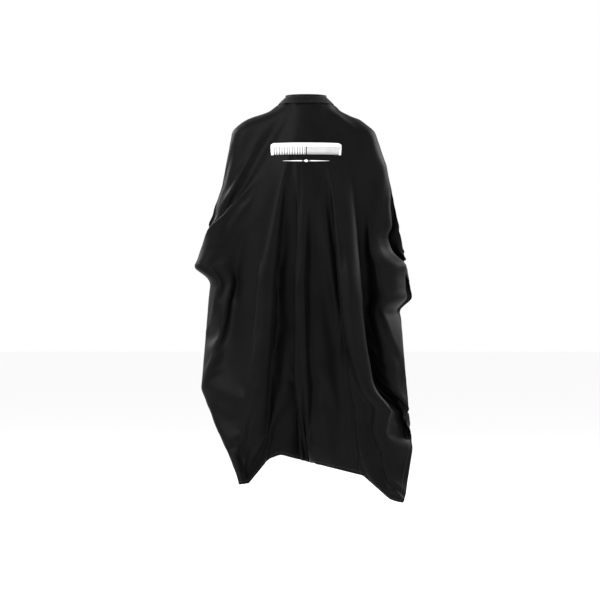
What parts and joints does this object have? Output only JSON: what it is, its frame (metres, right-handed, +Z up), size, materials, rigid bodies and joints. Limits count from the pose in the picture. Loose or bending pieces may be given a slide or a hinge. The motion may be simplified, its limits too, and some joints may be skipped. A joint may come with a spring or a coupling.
{
  "type": "barber cape",
  "caption": "Black cloth hair-cutting cape draped as worn, long in front and short behind, with a layered neckband that snaps shut at the back of the neck.",
  "frame": {"origin": "centre of the neckband's top edge, on the axis of the neck", "axes": "+Z up along the neck, -Y the wearer's front where the print is, +X the wearer's left"},
  "size_m": [0.7353, 0.3858, 1.3558],
  "materials": {
    "cape_cloth": "black woven polyester taffeta, faint sheen",
    "neckband_cloth": "black woven polyester, topstitched",
    "interlining": "grey non-woven stiffener",
    "binding": "black bias binding",
    "snap_metal": "gunmetal plated",
    "print_ink": "white screen-print ink",
    "label_cloth": "blank white woven tape"
  },
  "bodies": {
    "root": {"cape_cloth": "cape_cloth", "neckband_outer": "neckband_cloth", "neckband_interlining": "interlining", "neckband_lining": "neckband_cloth", "neck_seam_binding": "binding", "snap_studs": "snap_metal", "snap_stud_posts": "snap_metal", "chest_print": "print_ink", "chest_print_rule": "print_ink", "care_label": "label_cloth"},
    "closure_tab": {"closure_tab_outer": "neckband_cloth", "closure_tab_interlining": "interlining", "closure_tab_lining": "neckband_cloth", "snap_caps": "snap_metal", "snap_sockets": "snap_metal"}
  },
  "joints": [
    {"name": "closure_tab_hinge", "type": "hinge", "parent": "root", "child": "closure_tab", "pos_m": [-0.00029, 0.0824, -0.01349], "axis": [-0.0025, 0.7193, -0.6947], "range_deg": [0, 75]}
  ]
}
